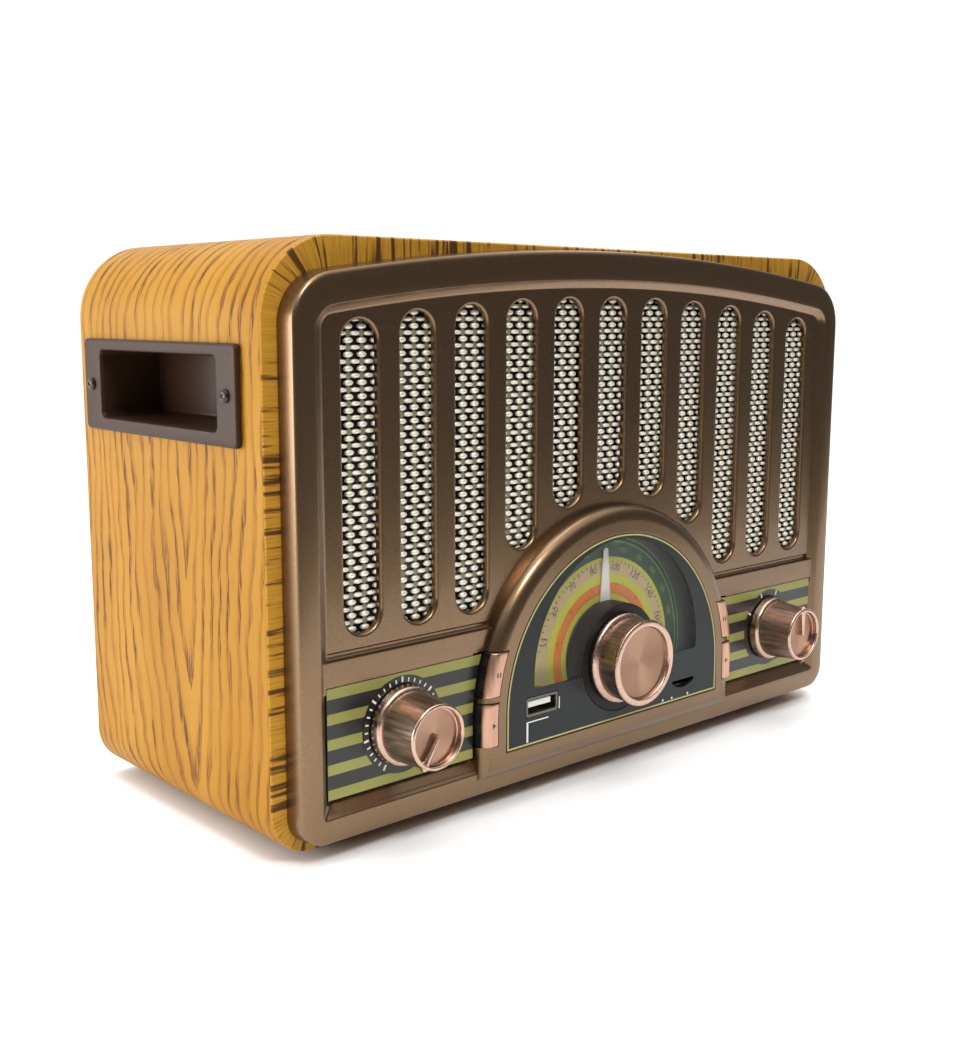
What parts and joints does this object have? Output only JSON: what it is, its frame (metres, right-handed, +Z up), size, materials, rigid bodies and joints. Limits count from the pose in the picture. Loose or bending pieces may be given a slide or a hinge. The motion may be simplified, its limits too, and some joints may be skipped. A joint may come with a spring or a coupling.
{
  "type": "retro table radio",
  "caption": "Retro table radio: oak-wrapped box, arched bronze front with tall grille slots, half-round dial, copper knobs and side handle recesses.",
  "frame": {"origin": "centre of the whole radio's box, on the surface that it stands on", "axes": "+X to the right of someone facing the front, +Y from the front to the back, +Z up"},
  "size_m": [0.2866, 0.1448, 0.186],
  "materials": {
    "oak": "golden oak veneer under satin lacquer",
    "bronze": "moulded plastic with a satin metallic bronze coat",
    "grille_steel": "bright woven-pattern pressed steel mesh",
    "striped_panel": "black printed with gold stripes",
    "dial_lens": "clear acrylic printed charcoal on the back, with a clear half-round window",
    "dial_scale": "printed scale with tan, green and orange bands",
    "black_plastic": "fine textured black plastic",
    "white_plastic": "white plastic",
    "copper": "antique copper plate, brushed sides and spun face",
    "copper_keys": "satin rose copper plate",
    "steel": "zinc plated steel",
    "chrome": "polished chrome plate",
    "circuit_board": "green solder resist",
    "iron": "dark zinc and iron laminations",
    "speaker_paper": "black pressed paper pulp",
    "ferrite": "dark grey sintered ferrite",
    "battery_wrap": "blue shrink wrap",
    "brown_plastic": "dark brown satin plastic",
    "foot_rubber": "black rubber"
  },
  "bodies": {
    "radio": {"cabinet_shell": "oak", "front_bezel": "bronze", "grille_mesh": "grille_steel", "control_panel_left": "striped_panel", "control_panel_right": "striped_panel", "dial_lens": "dial_lens", "dial_scale": "dial_scale", "tuning_capacitor": "white_plastic", "volume_potentiometer": "steel", "function_switch": "steel", "button_board_left": "circuit_board", "button_board_right": "circuit_board", "usb_socket": "steel", "card_socket": "steel", "media_board": "circuit_board", "speaker_frame_left": "iron", "speaker_frame_right": "iron", "speaker_cone_left": "speaker_paper", "speaker_cone_right": "speaker_paper", "main_board": "circuit_board", "transformer": "iron", "ferrite_rod": "ferrite", "rear_cover": "black_plastic", "antenna_rest": "black_plastic", "rear_screw_1": "steel", "rear_screw_2": "steel", "rear_screw_3": "steel", "rear_screw_4": "steel", "battery_pack": "battery_wrap", "power_inlet": "black_plastic", "aux_jack": "steel", "handle_cup_left": "brown_plastic", "handle_cup_right": "brown_plastic", "handle_screw_left_1": "steel", "handle_screw_left_2": "steel", "handle_screw_right_1": "steel", "handle_screw_right_2": "steel", "foot_front_left": "foot_rubber", "foot_front_right": "foot_rubber", "foot_rear_left": "foot_rubber", "foot_rear_right": "foot_rubber"},
    "tuning": {"tuning_knob": "copper", "tuning_shaft": "steel", "pointer_disc": "black_plastic", "dial_pointer": "white_plastic"},
    "volume": {"volume_knob": "copper", "volume_shaft": "steel"},
    "function_selector": {"function_knob": "copper", "function_shaft": "steel"},
    "upper_left_button": {"button_upper_left": "copper_keys"},
    "lower_left_button": {"button_lower_left": "copper_keys"},
    "upper_right_button": {"button_upper_right": "copper_keys"},
    "lower_right_button": {"button_lower_right": "copper_keys"},
    "battery_door": {"battery_door": "black_plastic"},
    "antenna_base": {"antenna_swivel": "chrome"},
    "antenna_rod": {"antenna_tube_1": "chrome"},
    "antenna_section_2": {"antenna_tube_2": "chrome"},
    "antenna_section_3": {"antenna_tube_3": "chrome"},
    "antenna_section_4": {"antenna_tube_4": "chrome", "antenna_tip": "chrome"}
  },
  "joints": [
    {"name": "tuning_turn", "type": "hinge", "parent": "radio", "child": "tuning", "pos_m": [0, 0, 0.043], "axis": [0, 1, 0], "range_deg": [-82, 88]},
    {"name": "volume_turn", "type": "hinge", "parent": "radio", "child": "volume", "pos_m": [-0.0954, 0, 0.0376], "axis": [0, 1, 0], "range_deg": [0, 300]},
    {"name": "function_turn", "type": "hinge", "parent": "radio", "child": "function_selector", "pos_m": [0.0954, 0, 0.0376], "axis": [0, 1, 0], "range_deg": [-60, 60]},
    {"name": "upper_left_press", "type": "slide", "parent": "radio", "child": "upper_left_button", "axis": [0, 1, 0], "range_m": [0, 0.0012], "stiffness_N_per_m": 400, "springref_m": -0.001},
    {"name": "lower_left_press", "type": "slide", "parent": "radio", "child": "lower_left_button", "axis": [0, 1, 0], "range_m": [0, 0.0012], "stiffness_N_per_m": 400, "springref_m": -0.001},
    {"name": "upper_right_press", "type": "slide", "parent": "radio", "child": "upper_right_button", "axis": [0, 1, 0], "range_m": [0, 0.0012], "stiffness_N_per_m": 400, "springref_m": -0.001},
    {"name": "lower_right_press", "type": "slide", "parent": "radio", "child": "lower_right_button", "axis": [0, 1, 0], "range_m": [0, 0.0012], "stiffness_N_per_m": 400, "springref_m": -0.001},
    {"name": "battery_door_swing", "type": "hinge", "parent": "radio", "child": "battery_door", "pos_m": [0, 0.06045, 0.0223], "axis": [-1, 0, 0], "range_deg": [0, 100]},
    {"name": "antenna_turn", "type": "hinge", "parent": "radio", "child": "antenna_base", "pos_m": [0.105, 0.0688, 0.153], "axis": [0, 1, 0], "range_deg": [0, 180]},
    {"name": "antenna_elbow", "type": "hinge", "parent": "antenna_base", "child": "antenna_rod", "pos_m": [0.105, 0.0688, 0.153], "axis": [0, 0, -1], "range_deg": [0, 90]},
    {"name": "antenna_slide_2", "type": "slide", "parent": "antenna_rod", "child": "antenna_section_2", "axis": [-1, 0, 0], "range_m": [0, 0.145]},
    {"name": "antenna_slide_3", "type": "slide", "parent": "antenna_section_2", "child": "antenna_section_3", "axis": [-1, 0, 0], "range_m": [0, 0.145]},
    {"name": "antenna_slide_4", "type": "slide", "parent": "antenna_section_3", "child": "antenna_section_4", "axis": [-1, 0, 0], "range_m": [0, 0.145]}
  ]
}
